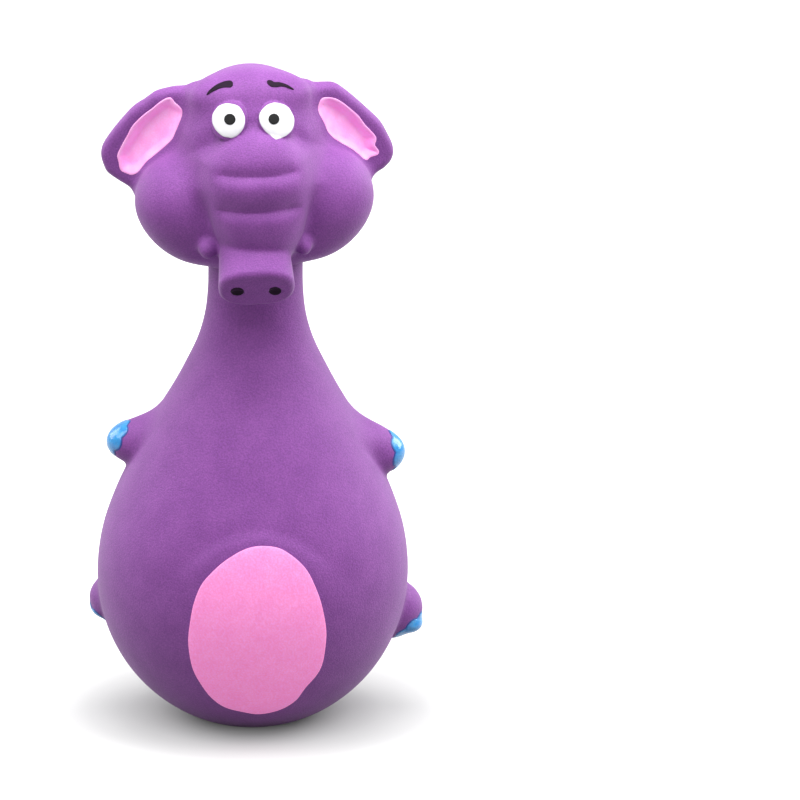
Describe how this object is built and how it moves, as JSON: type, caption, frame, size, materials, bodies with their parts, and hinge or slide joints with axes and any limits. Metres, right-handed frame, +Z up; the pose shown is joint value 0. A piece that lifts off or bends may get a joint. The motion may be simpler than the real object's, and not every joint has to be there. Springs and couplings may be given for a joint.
{
  "type": "squeaky dog toy",
  "caption": "Moulded latex elephant that stands on a rounded pear-shaped body, with a squeaker in its base, a bending neck and flapping ears.",
  "frame": {"origin": "middle of the base on the floor", "axes": "+Z up through the body, the face looks along -Y, +X to the right as one looks at the face"},
  "size_m": [0.0628, 0.0585, 0.1251],
  "materials": {
    "latex": "matt purple latex, fine-grained",
    "pink_paint": "brushed matt pink latex paint",
    "blue_paint": "brushed blue latex paint",
    "white_paint": "white latex paint on a raised dome",
    "black_paint": "satin black paint",
    "plum_paint": "dark plum paint",
    "squeaker_plastic": "natural moulded polyethylene",
    "reed_brass": "thin rolled brass"
  },
  "bodies": {
    "body": {"body_skin": "latex", "belly_patch": "pink_paint", "tail": "latex", "arm_left": "latex", "arm_right": "latex", "arm_nails_left": "blue_paint", "arm_nails_right": "blue_paint", "foot_left": "latex", "foot_right": "latex", "foot_nails_left": "blue_paint", "foot_nails_right": "blue_paint", "squeaker_cup": "squeaker_plastic", "reed_seat": "squeaker_plastic", "reed_clamp": "squeaker_plastic", "squeaker_lid": "squeaker_plastic"},
    "reed": {"reed": "reed_brass"},
    "neck_base": {"neck_lower": "latex"},
    "neck_bend": {"neck_upper": "latex"},
    "head": {"head_skin": "latex", "trunk": "latex", "snout": "latex", "tusk_left": "latex", "tusk_right": "latex", "eye_left": "white_paint", "eye_right": "white_paint", "pupil_left": "black_paint", "pupil_right": "black_paint", "brow_left": "plum_paint", "brow_right": "plum_paint", "nostril_left": "plum_paint", "nostril_right": "plum_paint", "ear_root_left": "latex", "ear_root_right": "latex"},
    "ear_left": {"ear_left": "latex", "inner_ear_left": "pink_paint"},
    "ear_right": {"ear_right": "latex", "inner_ear_right": "pink_paint"}
  },
  "joints": [
    {"name": "body_press", "type": "slide", "parent": "body", "child": "neck_base", "axis": [0, 0, 1], "range_m": [-0.012, 0], "stiffness_N_per_m": 400, "deforming": ["body_skin"]},
    {"name": "head_nod", "type": "hinge", "parent": "neck_base", "child": "neck_bend", "pos_m": [0, 0, 0.0714], "axis": [1, 0, 0], "range_deg": [-15, 15], "stiffness_Nm_per_rad": 0.3, "deforming": ["neck_lower"]},
    {"name": "head_sway", "type": "hinge", "parent": "neck_bend", "child": "head", "pos_m": [0, 0, 0.0819], "axis": [0, 1, 0], "range_deg": [-12, 12], "stiffness_Nm_per_rad": 0.3, "deforming": ["neck_upper"]},
    {"name": "ear_left_flap", "type": "hinge", "parent": "head", "child": "ear_left", "pos_m": [-0.01825, -0.00022, 0.11241], "axis": [0.4416, -0.1156, 0.8897], "range_deg": [-12, 12], "stiffness_Nm_per_rad": 0.02, "deforming": ["ear_root_left"]},
    {"name": "ear_right_flap", "type": "hinge", "parent": "head", "child": "ear_right", "pos_m": [0.01644, 0.0011, 0.11356], "axis": [0.4893, 0.1514, -0.8589], "range_deg": [-12, 12], "stiffness_Nm_per_rad": 0.02, "deforming": ["ear_root_right"]},
    {"name": "reed_flutter", "type": "hinge", "parent": "body", "child": "reed", "pos_m": [0, 0, 0.008], "axis": [1, 0, 0], "range_deg": [-2, 2], "stiffness_Nm_per_rad": 0.002}
  ]
}
